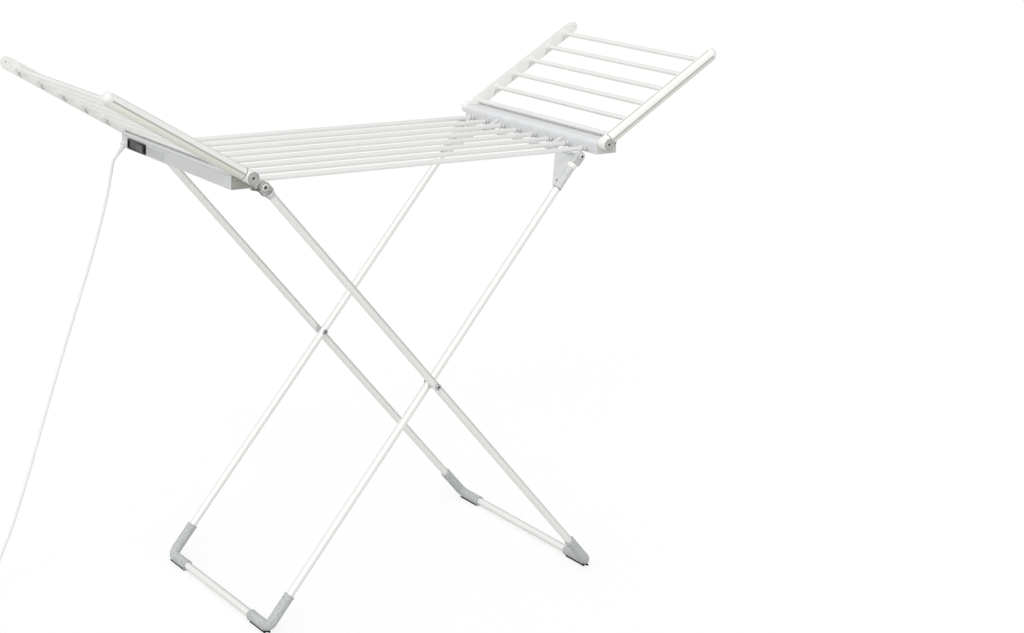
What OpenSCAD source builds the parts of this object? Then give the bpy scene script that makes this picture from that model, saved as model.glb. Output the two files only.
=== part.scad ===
// Folding clothes airer with heated rails: a level rack on crossed legs, with a raised wing at each end.
// X runs from wing to wing, Y across the airer (near side negative), Z up. Z = 0 is the floor.

/* [Rack] */
// Distance between the hinge axes of the two wings
hinge_span = 825; // [790:1:860]
// Height of the rack rail axes above the floor
rail_z = 900; // [880:1:920]
// Distance between neighbouring rack rails
rail_pitch = 58; // [57:0.1:58.2]
// Outside diameter of every rail tube
rail_d = 10; // [9.6:0.1:10.4]
// Wall of every rail tube
rail_wall = 1; // [0.8:0.1:1.2]
// Outside diameter of the ring at each rack rail's end
ferrule_d = 13.4; // [12.4:0.1:14]
// Length of that ring
ferrule_len = 14; // [8:1:15]

/* [End pieces] */
// Distance from a wing's hinge axis in to the end piece's inner face
end_in = 15.5; // [14:0.5:16]
// Distance from a wing's hinge axis out to the end piece's outer face
end_out = 36; // [35:0.5:40]
// Distance from the outermost rack rail's axis to the end of an end piece
end_margin = 35; // [34:0.5:35]
// Distance from the rail axes down to the end pieces' underside
end_drop = 8.5; // [8:0.5:9]
// Distance from the rail axes up to the covers' underside
cover_rise = 18.5; // [18.4:0.1:19]
// Thickness of the covers
cover_t = 3; // [2.5:0.1:3.2]
// How far a cover's wavy edge reaches over the inner face
cover_lip = 3; // [2.5:0.5:4]
// Depth of the waves in the covers
wave_depth = 2.2; // [0.5:0.1:2.4]
// Thickness of the end pieces' walls
end_wall = 2.5; // [2:0.1:3]

/* [Wings] */
// Angle of the right wing above the level at rest
right_wing_angle = 31.5; // [29:0.5:33]
// Angle of the left wing above the level at rest
left_wing_angle = 30; // [28:0.5:32]
// Distance from a hinge axis to the centre of a side plate's round tip
wing_len = 328; // [322:1:336]
// Height of a wing's hinge axis above the rail axes
hinge_rise = 14.5; // [14.4:0.1:14.6]
// Distance from the hinge axis to the first wing rail
wing_rail_start = 28; // [27.6:0.1:29]
// Distance between neighbouring wing rails
wing_rail_pitch = 54.5; // [50:0.5:55.5]
// Height of the side plates
plate_h = 26; // [24:0.5:26]
// Thickness of the flat part of the side plates
plate_flat = 2; // [2:0.1:2.4]
// Diameter of the hinge barrels
barrel_d = 26; // [26:0.2:27]
// Length of the hinge barrels
barrel_len = 17; // [16:0.5:20]
// Thickness of the end discs on the barrels
knob_t = 4.5; // [3:0.5:6]
// Diameter of the pins that carry the wings
hinge_pin_d = 7; // [6:0.1:7]

/* [Leg frames] */
// Distance from the left hinge axis in to the outer frame's pivot
pivot_in = 36; // [34.5:0.5:37.5]
// Distance from the rail axes down to the outer frame's pivot
pivot_drop = 9.5; // [9.5:0.1:10]
// Distance from the right hinge axis in to the inner frame's top rod
clip_in = 40; // [38:0.5:42]
// Distance from the rail axes down to the inner frame's top rod
clip_drop = 13.5; // [13:0.1:14]
// Place of the legs' crossing along X
cross_x = 20; // [16:0.5:24]
// Height of the legs' crossing
cross_z = 452.5; // [449:0.5:456]
// Distance across from the outermost rack rail's side to an inner leg's axis
leg_gap = 2; // [1.6:0.1:2.4]
// Distance across between an inner leg's axis and the outer leg's beside it
leg_step = 24.5; // [24.5:0.1:25]
// Outside diameter of the leg tubes
leg_d = 16; // [15.4:0.1:16]
// Wall of the leg tubes
leg_wall = 1.2; // [1:0.1:1.5]
// Diameter of the two rods across the frames' tops
rod_d = 8; // [7.6:0.1:8]
// Outside diameter of the grey sleeves over the tube ends
sleeve_d = 21; // [20.4:0.1:21]
// Length of an elbow's sleeve on the leg
elbow_leg_len = 74; // [60:1:80]
// Length of an elbow's sleeve on the floor bar
elbow_bar_len = 70; // [60:1:80]
// Diameter of the rivets where the legs cross
rivet_d = 6; // [5:0.1:6.4]
// Height of the elbows' underside above the floor, where the rubber strips are
strip_gap = 1.5; // [1.2:0.1:2]

/* [Power end] */
// Width of the switch frame across the airer
switch_w = 84; // [80:1:85]
// Height of the switch frame
switch_h = 21.5; // [20.5:0.5:22]
// Distance from the switch's middle to the end piece's far end
switch_in = 73; // [72:1:76]
// Angle that the rocker turns through
rocker_throw = 10; // [8:1:12]
// Length of the bare rating plate
plate_w = 72; // [62:1:74]
// Distance from the cord's exit to the end piece's far end
exit_in = 15; // [14:0.5:16]
// Diameter of the mains cord
cord_d = 6; // [5.6:0.1:6]

/* [Hidden] */
$fn = 48;
rack_rails = 8;
wing_rails = 6;
// Running clearance round a pin, loose clearance beside a moving piece, and the fit of a fixed tube or pin
run = 0.1;
loose = 0.4;
fit = 0.05;
sides = [-1, 1];
hinge_x = hinge_span / 2;
hinge_z = rail_z + hinge_rise;
rail_half = rail_pitch * (rack_rails - 1) / 2;
end_half = rail_half + end_margin;
end_len = 2 * end_half;
end_bottom = rail_z - end_drop;
cover_z = rail_z + cover_rise;
// The inner wall is thick enough to hold the rails, and the end walls to hold the wings' pins
rail_seat = 10;
pin_seat = 12;
rail_r = rail_d / 2;
leg_r = leg_d / 2;
rod_r = rod_d / 2;
sleeve_r = sleeve_d / 2;
floor_axis_z = sleeve_r + strip_gap;
strip_w = 12;
strip_lap = 1.7;
inner_half = rail_half + rail_r + leg_gap;
outer_half = inner_half + leg_step;
// The pivots as [x, z], and each leg as an angle, a length up to its pivot and a length down to its floor bar
crossing = [cross_x, cross_z];
outer_top = [-hinge_x + pivot_in, rail_z - pivot_drop];
inner_top = [hinge_x - clip_in, rail_z - clip_drop];
outer_angle = atan2(outer_top[1] - crossing[1], outer_top[0] - crossing[0]);
inner_angle = atan2(inner_top[1] - crossing[1], inner_top[0] - crossing[0]);
outer_up = norm(outer_top - crossing);
inner_up = norm(inner_top - crossing);
outer_down = (cross_z - floor_axis_z) / sin(outer_angle);
inner_down = (cross_z - floor_axis_z) / sin(inner_angle);
// Leg tops: a round head about the pivot, a block below it and a sleeve over the tube
head_r = 11.2;
head_block = 22;
outer_sleeve = 40;
outer_sleeve_tip = 9.2;
inner_sleeve = 82;
tube_stop = 24;
corner_stop = 12;
mouth = 3;
mouth_r = sleeve_r + 0.7;
outer_head_y = [outer_half - 13.5, outer_half + 3.5];
inner_head_y = [rail_half + rail_r + 1.2, outer_half - sleeve_r - 3.4];
rod_cap_t = 2.2;
rod_cap_r = 6;
lug_y = outer_half - 8.5;
lug_t = 5;
lug_r = 10;
// Studs stand on each lug's outer face, clear of the fork: their places from the pivot as [x, z]
stud_r = 2.4;
stud_at = [[-13.6, -4.6], [-22, -2.2]];
stud_end = end_half + 0.5;
lug_foot = 5;
hook_y = 2 * rail_pitch;
hook_t = 10;
hook_r = 9;
// Side plates and barrels start just outside the end pieces
plate_y = end_half + 0.8;
plate_r = plate_h / 2;
barrel_y = plate_y + barrel_len;
socket_depth = 6;
// A collar round each rail's socket, and pockets in the plates' inner faces on the hinge side of the collars
collar_r = 6.6;
collar_len = 4;
pocket_len = 12;
pocket_depth = 4;
stop_r = 3;
stop_at = 24;
stop_len = 5;
heater_r = 2.5;
// Switch, plate and cord exit stand in the power housing's outer face, at this height
panel_z = rail_z + 4.4;
switch_y = end_half - switch_in;
frame_proud = 2;
frame_rim = 3;
switch_depth = 12;
box_w = switch_w - frame_rim;
box_h = switch_h - frame_rim;
rocker_pin_r = 1.5;
rocker_set = 3;
rocker_w = switch_w - 2 * frame_rim - 2 * loose;
rocker_h = switch_h - 2 * frame_rim - 2 * loose;
plate_gap = 9;
foil_h = 15;
foil_t = 0.6;
exit_y = end_half - exit_in;
exit_z = rail_z;
relief_len = 26;
relief_tilt = 52;
relief_r = [6.5, cord_d / 2 + 1];
relief_boss = 7;
// The free cord from the strain relief's tip to the floor and on to the coil
relief_tip = [
    -hinge_x - end_out - relief_len * cos(relief_tilt),
    exit_y,
    exit_z - relief_len * sin(relief_tilt)
];
cord_r = cord_d / 2;
floor_z = 3.1;
coil_x = -867;
relief_way = [-cos(relief_tilt), 0, -sin(relief_tilt)];
cord_route = [
    relief_tip,
    relief_tip + cord_d * relief_way,
    relief_tip + 2 * cord_d * relief_way,
    [-478, exit_y, 845],
    [-485, exit_y, 806],
    [-504, exit_y, 731],
    [-524, exit_y, 662],
    [-545, exit_y, 597],
    [-586, exit_y, 470],
    [-626, exit_y, 340],
    [-666, exit_y, 210],
    [-706, exit_y, 100],
    [-741, exit_y, 34],
    [-778, exit_y, 6],
    [-818, exit_y, floor_z + 0.3],
    [coil_x + 5 * cord_d, exit_y, floor_z],
    [coil_x + 3 * cord_d, exit_y, floor_z],
    [coil_x + cord_d, exit_y, floor_z]
];
cord_steps = 4;
cord_sides = 8;
// The coil spirals in for two turns, climbs a layer in half a turn and spirals out above
coil_r = 43;
coil_step = 7.6;
layer_rise = cord_d + 0.6;
turns_in = 2;
turns_up = 0.5;
turns_out = 2.5;
coil_rings = 24;
coil_sides = 6;
coil_tail = 60;
inner_coil_r = coil_r - turns_in * coil_step;
outer_coil_r = inner_coil_r + turns_out * coil_step;
coil_y = exit_y - coil_r;
plug_x = coil_x - coil_tail;
plug_y = coil_y + outer_coil_r;
plug_z = floor_z + layer_rise;
plug_nose = 24;
plug_size = [46, 50, 22];

aluminium = "#d9d9d6";
light_plastic = "#e6e9ec";
grey_plastic = "#b8bcbc";
dark_plastic = "#4a4a4a";
steel = "#a8aaac";
black_rubber = "#262626";
copper = "#b87333";

// Places

function rack_rail_y(i) = ((rack_rails + 1) / 2 - i) * rail_pitch;

// Puts what is drawn for the far side on the side s
module on_side(s) {
    if (s < 0) mirror([0, 1, 0]) children();
    else children();
}

// Puts what is drawn about a hinge axis at the origin, with +X outwards, at the left or the right end
module left_end() {
    translate([-hinge_x, 0, 0]) mirror([1, 0, 0]) children();
}

module right_end() {
    translate([hinge_x, 0, 0]) children();
}

// Puts what is drawn along +X at a point [x, z], turned up to an angle
module along(p, angle) {
    translate([p[0], 0, p[1]]) rotate([0, -angle, 0]) children();
}

// A round bar from y0 to y1
module bar_y(r, y0, y1) {
    translate([0, y0, 0]) rotate([-90, 0, 0]) cylinder(r = r, h = y1 - y0);
}

// A round bar from x0 to x1
module bar_x(r, x0, x1) {
    translate([x0, 0, 0]) rotate([0, 90, 0]) cylinder(r = r, h = x1 - x0);
}

// A flat piece in the XZ plane, from y0 to y1
module slab_y(y0, y1) {
    translate([0, y1, 0]) rotate([90, 0, 0]) linear_extrude(y1 - y0) children();
}

// A rectangle with round corners
module round_rect(low, high, r) {
    translate(low + [r, 0]) square([high[0] - low[0] - 2 * r, high[1] - low[1]]);
    translate(low + [0, r]) square([high[0] - low[0], high[1] - low[1] - 2 * r]);
    for (x = [low[0] + r, high[0] - r], y = [low[1] + r, high[1] - r]) translate([x, y]) circle(r);
}

// Rack

// A tray with a thick inner wall that holds the rails and end walls that hold the wings' pins
module end_tray() {
    difference() {
        slab_y(-end_half, end_half) round_rect([-end_in, end_bottom], [end_out, cover_z], 2.5);
        translate([rail_seat - end_in, pin_seat - end_half, end_bottom + end_wall - 1])
            cube([end_in + end_out - rail_seat - end_wall, end_len - 2 * pin_seat, cover_z - end_bottom]);
        for (i = [1:rack_rails]) translate([0, rack_rail_y(i), rail_z])
            bar_x(rail_r + fit, -end_in - 1, rail_seat - end_in + 1);
        for (s = sides) on_side(s) translate([0, 0, hinge_z])
            bar_y(hinge_pin_d / 2 + fit, end_half - pin_seat + 1, end_half + 1);
    }
}

module power_housing() {
    color(light_plastic) difference() {
        left_end() end_tray();
        translate([-hinge_x - end_out - 1, switch_y - box_w / 2 - fit, panel_z - box_h / 2 - fit])
            cube([end_wall + 2, box_w + 2 * fit, box_h + 2 * fit]);
    }
}

module end_cap() {
    color(light_plastic) right_end() end_tray();
}

// One wave for each rail: 1 at a crest above a rail, 0 between rails, steeper on one side
function wave(y) =
    let (a = 360 * (y / rail_pitch - 0.5))
    max(0, min(1, 0.5 + 0.43 * cos(a) + 0.14 * sin(2 * a))) * (abs(y) < rack_rails * rail_pitch / 2 ? 1 : 0);

// A cover whose inner edge and top follow the waves, which fade out towards the outer edge
module wavy_cover() {
    rows = 6;
    steps = rack_rails * 10 + 4;
    ys = [for (j = [0:steps]) end_len * (j / steps - 0.5)];
    edge = [for (y = ys) -end_in - cover_lip + wave_depth * (1 - wave(y))];
    fade = [for (i = [0:rows]) pow(1 - i / rows, 1.5)];
    top = [for (i = [0:rows]) for (j = [0:steps]) [
        edge[j] + (end_out - edge[j]) * i / rows,
        ys[j],
        cover_z + cover_t - wave_depth * fade[i] * (1 - wave(ys[j])) * 0.6
    ]];
    bottom = [for (j = [0:steps]) [edge[j], ys[j], cover_z], for (j = [0:steps]) [end_out, ys[j], cover_z]];
    n = steps + 1;
    b = len(top);
    last = rows * n;
    faces = concat(
        [for (i = [0:rows - 1]) for (j = [0:steps - 1]) [i * n + j, i * n + j + 1, (i + 1) * n + j + 1]],
        [for (i = [0:rows - 1]) for (j = [0:steps - 1]) [i * n + j, (i + 1) * n + j + 1, (i + 1) * n + j]],
        [for (j = [0:steps - 1]) [b + j, b + n + j, b + n + j + 1]],
        [for (j = [0:steps - 1]) [b + j, b + n + j + 1, b + j + 1]],
        [for (j = [0:steps - 1]) [j, b + j, b + j + 1]],
        [for (j = [0:steps - 1]) [j, b + j + 1, j + 1]],
        [for (j = [0:steps - 1]) [last + j, b + n + j + 1, b + n + j]],
        [for (j = [0:steps - 1]) [last + j, last + j + 1, b + n + j + 1]],
        [concat([for (i = [0:rows]) i * n], [b + n, b])],
        [concat([for (i = [rows:-1:0]) i * n + steps], [b + steps, b + n + steps])]
    );
    polyhedron(concat(top, bottom), faces, convexity = 6);
}

module housing_cover() {
    color(light_plastic) left_end() wavy_cover();
}

module end_cap_cover() {
    color(light_plastic) right_end() wavy_cover();
}

// A rail tube along X
module rail_tube(x0, x1) {
    difference() {
        bar_x(rail_r, x0, x1);
        bar_x(rail_r - rail_wall, x0 - 1, x1 + 1);
    }
}

// Each rack rail runs through the inner walls and ends 1 mm past them
module rack_rail(i) {
    reach = hinge_x - end_in + rail_seat + 1;
    color(aluminium) translate([0, rack_rail_y(i), rail_z]) rail_tube(-reach, reach);
}

module rack_ferrules() {
    color(light_plastic)
    for (i = [1:rack_rails], end = [0, 1]) mirror([end, 0, 0])
        translate([hinge_x - end_in, rack_rail_y(i), rail_z]) difference() {
            union() {
                bar_x(ferrule_d / 2 - 0.7, -ferrule_len, 0);
                bar_x(ferrule_d / 2, -2.5, 0);
                bar_x(ferrule_d / 2, -ferrule_len, -ferrule_len + 2.5);
            }
            bar_x(rail_r + fit, -ferrule_len - 1, 1);
        }
}

// The heating wire lies on the bottom of each tube
module rack_heaters() {
    reach = hinge_x - end_in + rail_seat - 2;
    color(copper)
    for (i = [1:rack_rails]) translate([0, rack_rail_y(i), rail_z - rail_r + rail_wall + heater_r + run])
        bar_x(heater_r, -reach, reach);
}

// Lugs on the power housing's inner face, which the outer frame hangs from, with a foot under the housing
module hinge_lugs() {
    face_x = -hinge_x + end_in;
    color(light_plastic)
    for (s = sides) on_side(s) difference() {
        slab_y(lug_y, lug_y + lug_t) {
            translate(outer_top) circle(lug_r);
            polygon([
                outer_top - [0, lug_r],
                outer_top + [0, lug_r],
                [face_x, rail_z + 8],
                [face_x, end_bottom],
                [face_x - lug_foot, end_bottom],
                [face_x - lug_foot, end_bottom - 5.5]
            ]);
        }
        translate([outer_top[0], 0, outer_top[1]]) bar_y(rod_r + run, lug_y - 1, lug_y + lug_t + 1);
    }
}

module lug_studs() {
    color(dark_plastic)
    for (s = sides, at = stud_at) on_side(s) translate([outer_top[0] + at[0], 0, outer_top[1] + at[1]])
        bar_y(stud_r, lug_y + lug_t, stud_end);
}

// Hooks on the end cap's inner face: each rests on the inner frame's top rod and is open to the left
module clip_hooks() {
    face_x = hinge_x - end_in;
    gap = rod_r + loose;
    color(light_plastic)
    for (s = sides) on_side(s) slab_y(hook_y - hook_t / 2, hook_y + hook_t / 2) difference() {
        union() {
            translate(inner_top) circle(hook_r);
            polygon([
                inner_top - [0, hook_r],
                inner_top + [0, hook_r],
                [face_x, rail_z + 8],
                [face_x, end_bottom + 3]
            ]);
        }
        translate(inner_top) circle(gap);
        translate(inner_top - [hook_r + 1, gap]) square([hook_r + 1, 2 * gap]);
        translate(inner_top - [hook_r + 1, hook_r + 1]) square([hook_r + 1, hook_r + 1]);
    }
}

// Pins from the end walls into the wings' barrels
module wing_hinge_pins() {
    color(steel)
    for (x = [-hinge_x, hinge_x], s = sides) on_side(s)
        translate([x, 0, hinge_z]) bar_y(hinge_pin_d / 2, end_half - pin_seat + 1, barrel_y - 1);
}

// Pegs on the end pieces that the side plates rest on
module wing_stops() {
    below = plate_r + stop_r + loose;
    color(light_plastic)
    for (end = [0, 1], s = sides) mirror([end, 0, 0]) on_side(s)
        along([hinge_x, hinge_z], [right_wing_angle, left_wing_angle][end]) translate([stop_at, 0, -below])
            bar_y(stop_r, end_half, end_half + stop_len);
}

// Power end

// A frame round the rocker with a closed box behind it
module switch_frame() {
    hole_w = switch_w - 2 * frame_rim;
    hole_h = switch_h - 2 * frame_rim;
    color(dark_plastic) left_end() translate([end_out, switch_y, panel_z]) difference() {
        union() {
            rotate([90, 0, 90]) linear_extrude(frame_proud)
                round_rect([-switch_w, -switch_h] / 2, [switch_w, switch_h] / 2, 3);
            translate([-switch_depth, -box_w / 2, -box_h / 2]) cube([switch_depth, box_w, box_h]);
        }
        translate([1.5 - switch_depth, -hole_w / 2, -hole_h / 2])
            cube([switch_depth + frame_proud, hole_w, hole_h]);
        translate([-rocker_set, 0, -switch_h / 2]) cylinder(r = rocker_pin_r + run, h = switch_h);
    }
}

// The rocker turns on an upright pin inside the frame, and rests with its far end pressed in
module switch_rocker() {
    half = rocker_w / 2;
    pin = box_h - 0.7;
    color(dark_plastic) translate([rocker_set - hinge_x - end_out, switch_y, panel_z]) {
        translate([0, 0, -rocker_h / 2]) rotate(-rocker_throw / 2) linear_extrude(rocker_h) polygon([
            [-6.2, -half + 0.6],
            [-4.6, 0],
            [-6.2, half - 0.6],
            [-2.5, half - 0.4],
            [3, 8],
            [3, -8],
            [-2.5, -half + 0.4]
        ]);
        translate([0, 0, -pin / 2]) cylinder(r = rocker_pin_r, h = pin);
    }
}

module rating_plate() {
    color("#c9cbca") left_end()
        translate([end_out, switch_y - switch_w / 2 - plate_gap - plate_w, panel_z - foil_h / 2])
        cube([foil_t, plate_w, foil_h]);
}

// A round boss on the outer face and a sleeve that tapers down to the cord
module strain_relief() {
    color("#f0f0ee") translate([-hinge_x - end_out, exit_y, exit_z]) {
        bar_x(relief_r[0] + 0.5, -relief_boss, 0);
        difference() {
            rotate([0, -90 - relief_tilt, 0]) cylinder(r1 = relief_r[0], r2 = relief_r[1], h = relief_len);
            translate([0, -20, -20]) cube([20, 40, 40]);
        }
    }
}

module terminal_block() {
    color("#e9e6dc") left_end() translate([14, -30, end_bottom + end_wall - 1 + fit]) difference() {
        cube([14, 60, 12]);
        for (k = [0:4]) translate([7, 6 + 12 * k, 4]) cylinder(r = 2.4, h = 20);
    }
}

// The two wires that feed the rails lie on the tray's floor
module bus_wires() {
    color(copper) left_end() for (k = [0, 1])
        translate([3 + 6 * k, 0, end_bottom + end_wall - 1 + 2 + fit]) bar_y(2, -end_half + pin_seat + 4, 60);
}

// Leg frames: drawn for the far side, along +X from the floor bar's axis to the pivot

module leg_tube(half, down, up) {
    translate([0, half, 0]) difference() {
        bar_x(leg_r, corner_stop + fit, down + up - tube_stop - fit);
        bar_x(leg_r - leg_wall, 0, down + up);
        translate([down, 0, 0]) bar_y(rivet_d / 2 + run, -leg_r - 1, leg_r + 1);
    }
}

module floor_bar(half) {
    difference() {
        bar_y(leg_r, -half + corner_stop + fit, half - corner_stop - fit);
        bar_y(leg_r - leg_wall, -half, half);
    }
}

// A sleeve up the leg and one along the floor bar, which meet in a mitre
module elbow(half) {
    size = elbow_leg_len + elbow_bar_len;
    translate([0, half, 0]) difference() {
        union() {
            intersection() {
                bar_x(sleeve_r, -sleeve_r - 1, elbow_leg_len);
                rotate(45) translate([0, -size, -size]) cube(2 * size);
            }
            intersection() {
                bar_y(sleeve_r, -elbow_bar_len, sleeve_r + 1);
                rotate(45) translate([-2 * size, -size, -size]) cube(2 * size);
            }
            bar_x(mouth_r, elbow_leg_len - mouth, elbow_leg_len);
            bar_y(mouth_r, -elbow_bar_len, -elbow_bar_len + mouth);
        }
        bar_x(leg_r + fit, corner_stop, elbow_leg_len + 1);
        bar_y(leg_r + fit, -elbow_bar_len - 1, -corner_stop);
    }
}

// Rubber strips between the elbows and the floor, cut to the elbows' round underside
module foot_strips(x, half, angle) {
    color(black_rubber)
    for (s = sides) on_side(s) difference() {
        translate([x - strip_w / 2, half - elbow_bar_len + 5, 0])
            cube([strip_w, elbow_bar_len - 6, strip_gap + strip_lap]);
        translate([x, 0, floor_axis_z]) bar_y(sleeve_r + fit, half - elbow_bar_len, half + sleeve_r);
        along([x, floor_axis_z], angle) translate([0, half, 0])
            bar_x(sleeve_r + fit, -sleeve_r, elbow_leg_len);
    }
}

outer_foot_x = cross_x - outer_down * cos(outer_angle);
inner_foot_x = cross_x - inner_down * cos(inner_angle);

module outer_frame() {
    along([outer_foot_x, floor_axis_z], outer_angle) children();
}

module inner_frame() {
    along([inner_foot_x, floor_axis_z], inner_angle) children();
}

module outer_leg(s) {
    color(aluminium) outer_frame() on_side(s) leg_tube(outer_half, outer_down, outer_up);
}

module inner_leg(s) {
    color(aluminium) inner_frame() on_side(s) leg_tube(inner_half, inner_down, inner_up);
}

module outer_floor_bar() {
    color(aluminium) outer_frame() floor_bar(outer_half);
}

module inner_floor_bar() {
    color(aluminium) inner_frame() floor_bar(inner_half);
}

module outer_elbow(s) {
    color(grey_plastic) outer_frame() on_side(s) elbow(outer_half);
}

module inner_elbow(s) {
    color(grey_plastic) inner_frame() on_side(s) elbow(inner_half);
}

module outer_foot_strips() {
    foot_strips(outer_foot_x, outer_half, outer_angle);
}

module inner_foot_strips() {
    foot_strips(inner_foot_x, inner_half, inner_angle);
}

// A leg's top about its pivot at the origin, with the leg down along -X: cheeks, block and sleeve
module leg_head(half, ys, sleeve_len, tip_r) {
    difference() {
        union() {
            bar_y(head_r, ys[0], ys[1]);
            translate([-head_block, ys[0], -head_r + 2]) cube([head_block, ys[1] - ys[0], 2 * head_r - 4]);
            translate([4 - head_block, half, 0]) rotate([0, -90, 0])
                cylinder(r1 = sleeve_r, r2 = tip_r, h = sleeve_len - head_block + 4);
            translate([0, half, 0]) children();
        }
        translate([0, half, 0]) bar_x(leg_r + fit, -sleeve_len - 1, -tube_stop);
        bar_y(rod_r + fit, ys[0] - 1, ys[1] + 1);
    }
}

// The outer head is a fork with a slot for the lug
module outer_head(s) {
    color(grey_plastic) along(outer_top, outer_angle) on_side(s) difference() {
        leg_head(outer_half, outer_head_y, outer_sleeve, outer_sleeve_tip);
        bar_y(head_r + 1.5, lug_y - loose, lug_y + lug_t + loose);
    }
}

// The inner head has a collar above its sleeve and a rim at the sleeve's mouth
module inner_head(s) {
    color(grey_plastic) along(inner_top, inner_angle) on_side(s)
        leg_head(inner_half, inner_head_y, inner_sleeve, sleeve_r) {
            bar_x(mouth_r, -head_block - 6, -head_block + 2);
            bar_x(mouth_r, -inner_sleeve, -inner_sleeve + mouth);
        }
}

// Webs in the corners between the inner legs and their top rod
module inner_gussets() {
    leg_side = inner_half - mouth_r - run;
    rod_side = -rod_r - 0.2;
    reach = 56;
    color(light_plastic) along(inner_top, inner_angle)
    for (s = sides) on_side(s) translate([0, 0, -2]) linear_extrude(4) polygon([
        [rod_side, leg_side],
        [-inner_sleeve, leg_side],
        [-inner_sleeve, leg_side - 3],
        [rod_side - 9, leg_side - reach],
        [rod_side, leg_side - reach]
    ]);
}

// A rod across the frame's top with a flat round cap on each end
module cross_rod(cap_y) {
    bar_y(rod_r, -cap_y, cap_y);
    for (s = sides) on_side(s) bar_y(rod_cap_r, cap_y, cap_y + rod_cap_t);
}

module outer_cross_rod() {
    color(steel) along(outer_top, outer_angle) cross_rod(outer_head_y[1]);
}

module inner_cross_rod() {
    color(steel) along(inner_top, inner_angle) cross_rod(inner_head_y[1]);
}

// Rivets where the legs cross, with a spacer between each pair
module cross_rivets() {
    inside = inner_half - leg_r;
    outside = outer_half + leg_r;
    color(steel) translate([cross_x, 0, cross_z])
    for (s = sides) on_side(s) {
        bar_y(rivet_d / 2, inside, outside);
        bar_y(rivet_d, inside - 2, inside);
        bar_y(rivet_d, outside, outside + 2.4);
    }
}

module cross_spacers() {
    color(grey_plastic) translate([cross_x, 0, cross_z])
    for (s = sides) on_side(s) difference() {
        bar_y(rivet_d + 1, inner_half + leg_r + 0.3, outer_half - leg_r);
        bar_y(rivet_d / 2 + fit, inner_half, outer_half);
    }
}

// Wings: drawn for the right end, along +X from the hinge axis, and mirrored for the left

module right_wing() {
    along([hinge_x, hinge_z], right_wing_angle) children();
}

module left_wing() {
    mirror([1, 0, 0]) along([hinge_x, hinge_z], left_wing_angle) children();
}

function wing_rail_x(k) = wing_rail_start + wing_rail_pitch * k;

// The side plate's section: flat inside, half round outside
module plate_section() {
    translate([-plate_r, 0]) square([plate_h, plate_flat]);
    translate([0, plate_flat]) intersection() {
        circle(plate_r);
        translate([-plate_r, 0]) square([plate_h, plate_r]);
    }
}

// A pocket between a plate's lower edge and a curve that falls away from the collar above it
module wave_pocket() {
    low = 1.6 - plate_r;
    slab_y(plate_y - 1, plate_y + pocket_depth) polygon(concat(
        [[0, low]],
        [for (t = [0:0.125:1]) [-pocket_len * t, low + (plate_r - 4) * (0.1 + 0.9 * pow(1 - t, 1.5))]],
        [[-pocket_len, low]]
    ));
}

// A side plate: the shell with its closed end, the flat with its round tip, the barrel and the rails' sockets
module wing_plate() {
    shell_len = wing_len - 3;
    tip_r = plate_r - 1.2;
    difference() {
        union() {
            translate([0, plate_y, 0]) rotate([0, 90, 0]) linear_extrude(shell_len) plate_section();
            translate([shell_len - 1, plate_y, -tip_r]) cube([4, plate_flat, 2 * tip_r]);
            translate([wing_len, 0, 0]) bar_y(tip_r, plate_y, plate_y + plate_flat);
            translate([shell_len, plate_y + plate_flat, 0]) rotate([-90, 0, 0]) intersection() {
                sphere(r = tip_r);
                translate([-1, -tip_r - 1, 0]) cube([tip_r + 2, 2 * tip_r + 2, tip_r + 1]);
            }
            bar_y(barrel_d / 2, plate_y, barrel_y);
            for (k = [1:wing_rails - 1]) translate([wing_rail_x(k), 0, 0])
                bar_y(collar_r, plate_y - collar_len, plate_y);
        }
        bar_y(hinge_pin_d / 2 + run, plate_y - 1, barrel_y + 1);
        for (k = [0:wing_rails - 1]) translate([wing_rail_x(k), 0, 0])
            bar_y(rail_r + fit, plate_y - collar_len - 1, plate_y + socket_depth);
        for (k = [1:wing_rails - 1]) translate([wing_rail_x(k) - collar_r, 0, 0]) wave_pocket();
    }
}

module wing_rail_set() {
    for (k = [0:wing_rails - 1]) translate([wing_rail_x(k), 0, 0]) difference() {
        bar_y(rail_r, -plate_y - socket_depth + fit, plate_y + socket_depth - fit);
        bar_y(rail_r - rail_wall, -end_len, end_len);
    }
}

module wing_heater_set() {
    for (k = [0:wing_rails - 1]) translate([wing_rail_x(k), 0, -rail_r + rail_wall + heater_r + run])
        bar_y(heater_r, -plate_y + 2, plate_y - 2);
}

// End discs on the barrels, each with a ring groove and a centre hole
module wing_knobs() {
    for (s = sides) on_side(s) translate([0, barrel_y, 0]) difference() {
        bar_y(barrel_d / 2 - 0.6, 0, knob_t);
        difference() {
            bar_y(barrel_d / 2 - 3.4, knob_t - 0.8, knob_t + 1);
            bar_y(barrel_d / 2 - 4.6, knob_t - 2, knob_t + 2);
        }
        bar_y(2.6, -1, knob_t + 1);
    }
}

module left_wing_plate_near() {
    color(grey_plastic) left_wing() on_side(-1) wing_plate();
}

module left_wing_plate_far() {
    color(grey_plastic) left_wing() wing_plate();
}

module left_wing_rails() {
    color(aluminium) left_wing() wing_rail_set();
}

module left_wing_heaters() {
    color(copper) left_wing() wing_heater_set();
}

module left_wing_knobs() {
    color(grey_plastic) left_wing() wing_knobs();
}

module right_wing_plate_near() {
    color(grey_plastic) right_wing() on_side(-1) wing_plate();
}

module right_wing_plate_far() {
    color(grey_plastic) right_wing() wing_plate();
}

module right_wing_rails() {
    color(aluminium) right_wing() wing_rail_set();
}

module right_wing_heaters() {
    color(copper) right_wing() wing_heater_set();
}

module right_wing_knobs() {
    color(grey_plastic) right_wing() wing_knobs();
}

// Cord, coil and plug

function ring(p, across, up, r, n) = [for (k = [0:n - 1])
    let (a = 360 * (k + 0.5) / n)
    p + r * (cos(a) * across + sin(a) * up)
];

function unit(v) = v / norm(v);

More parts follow.
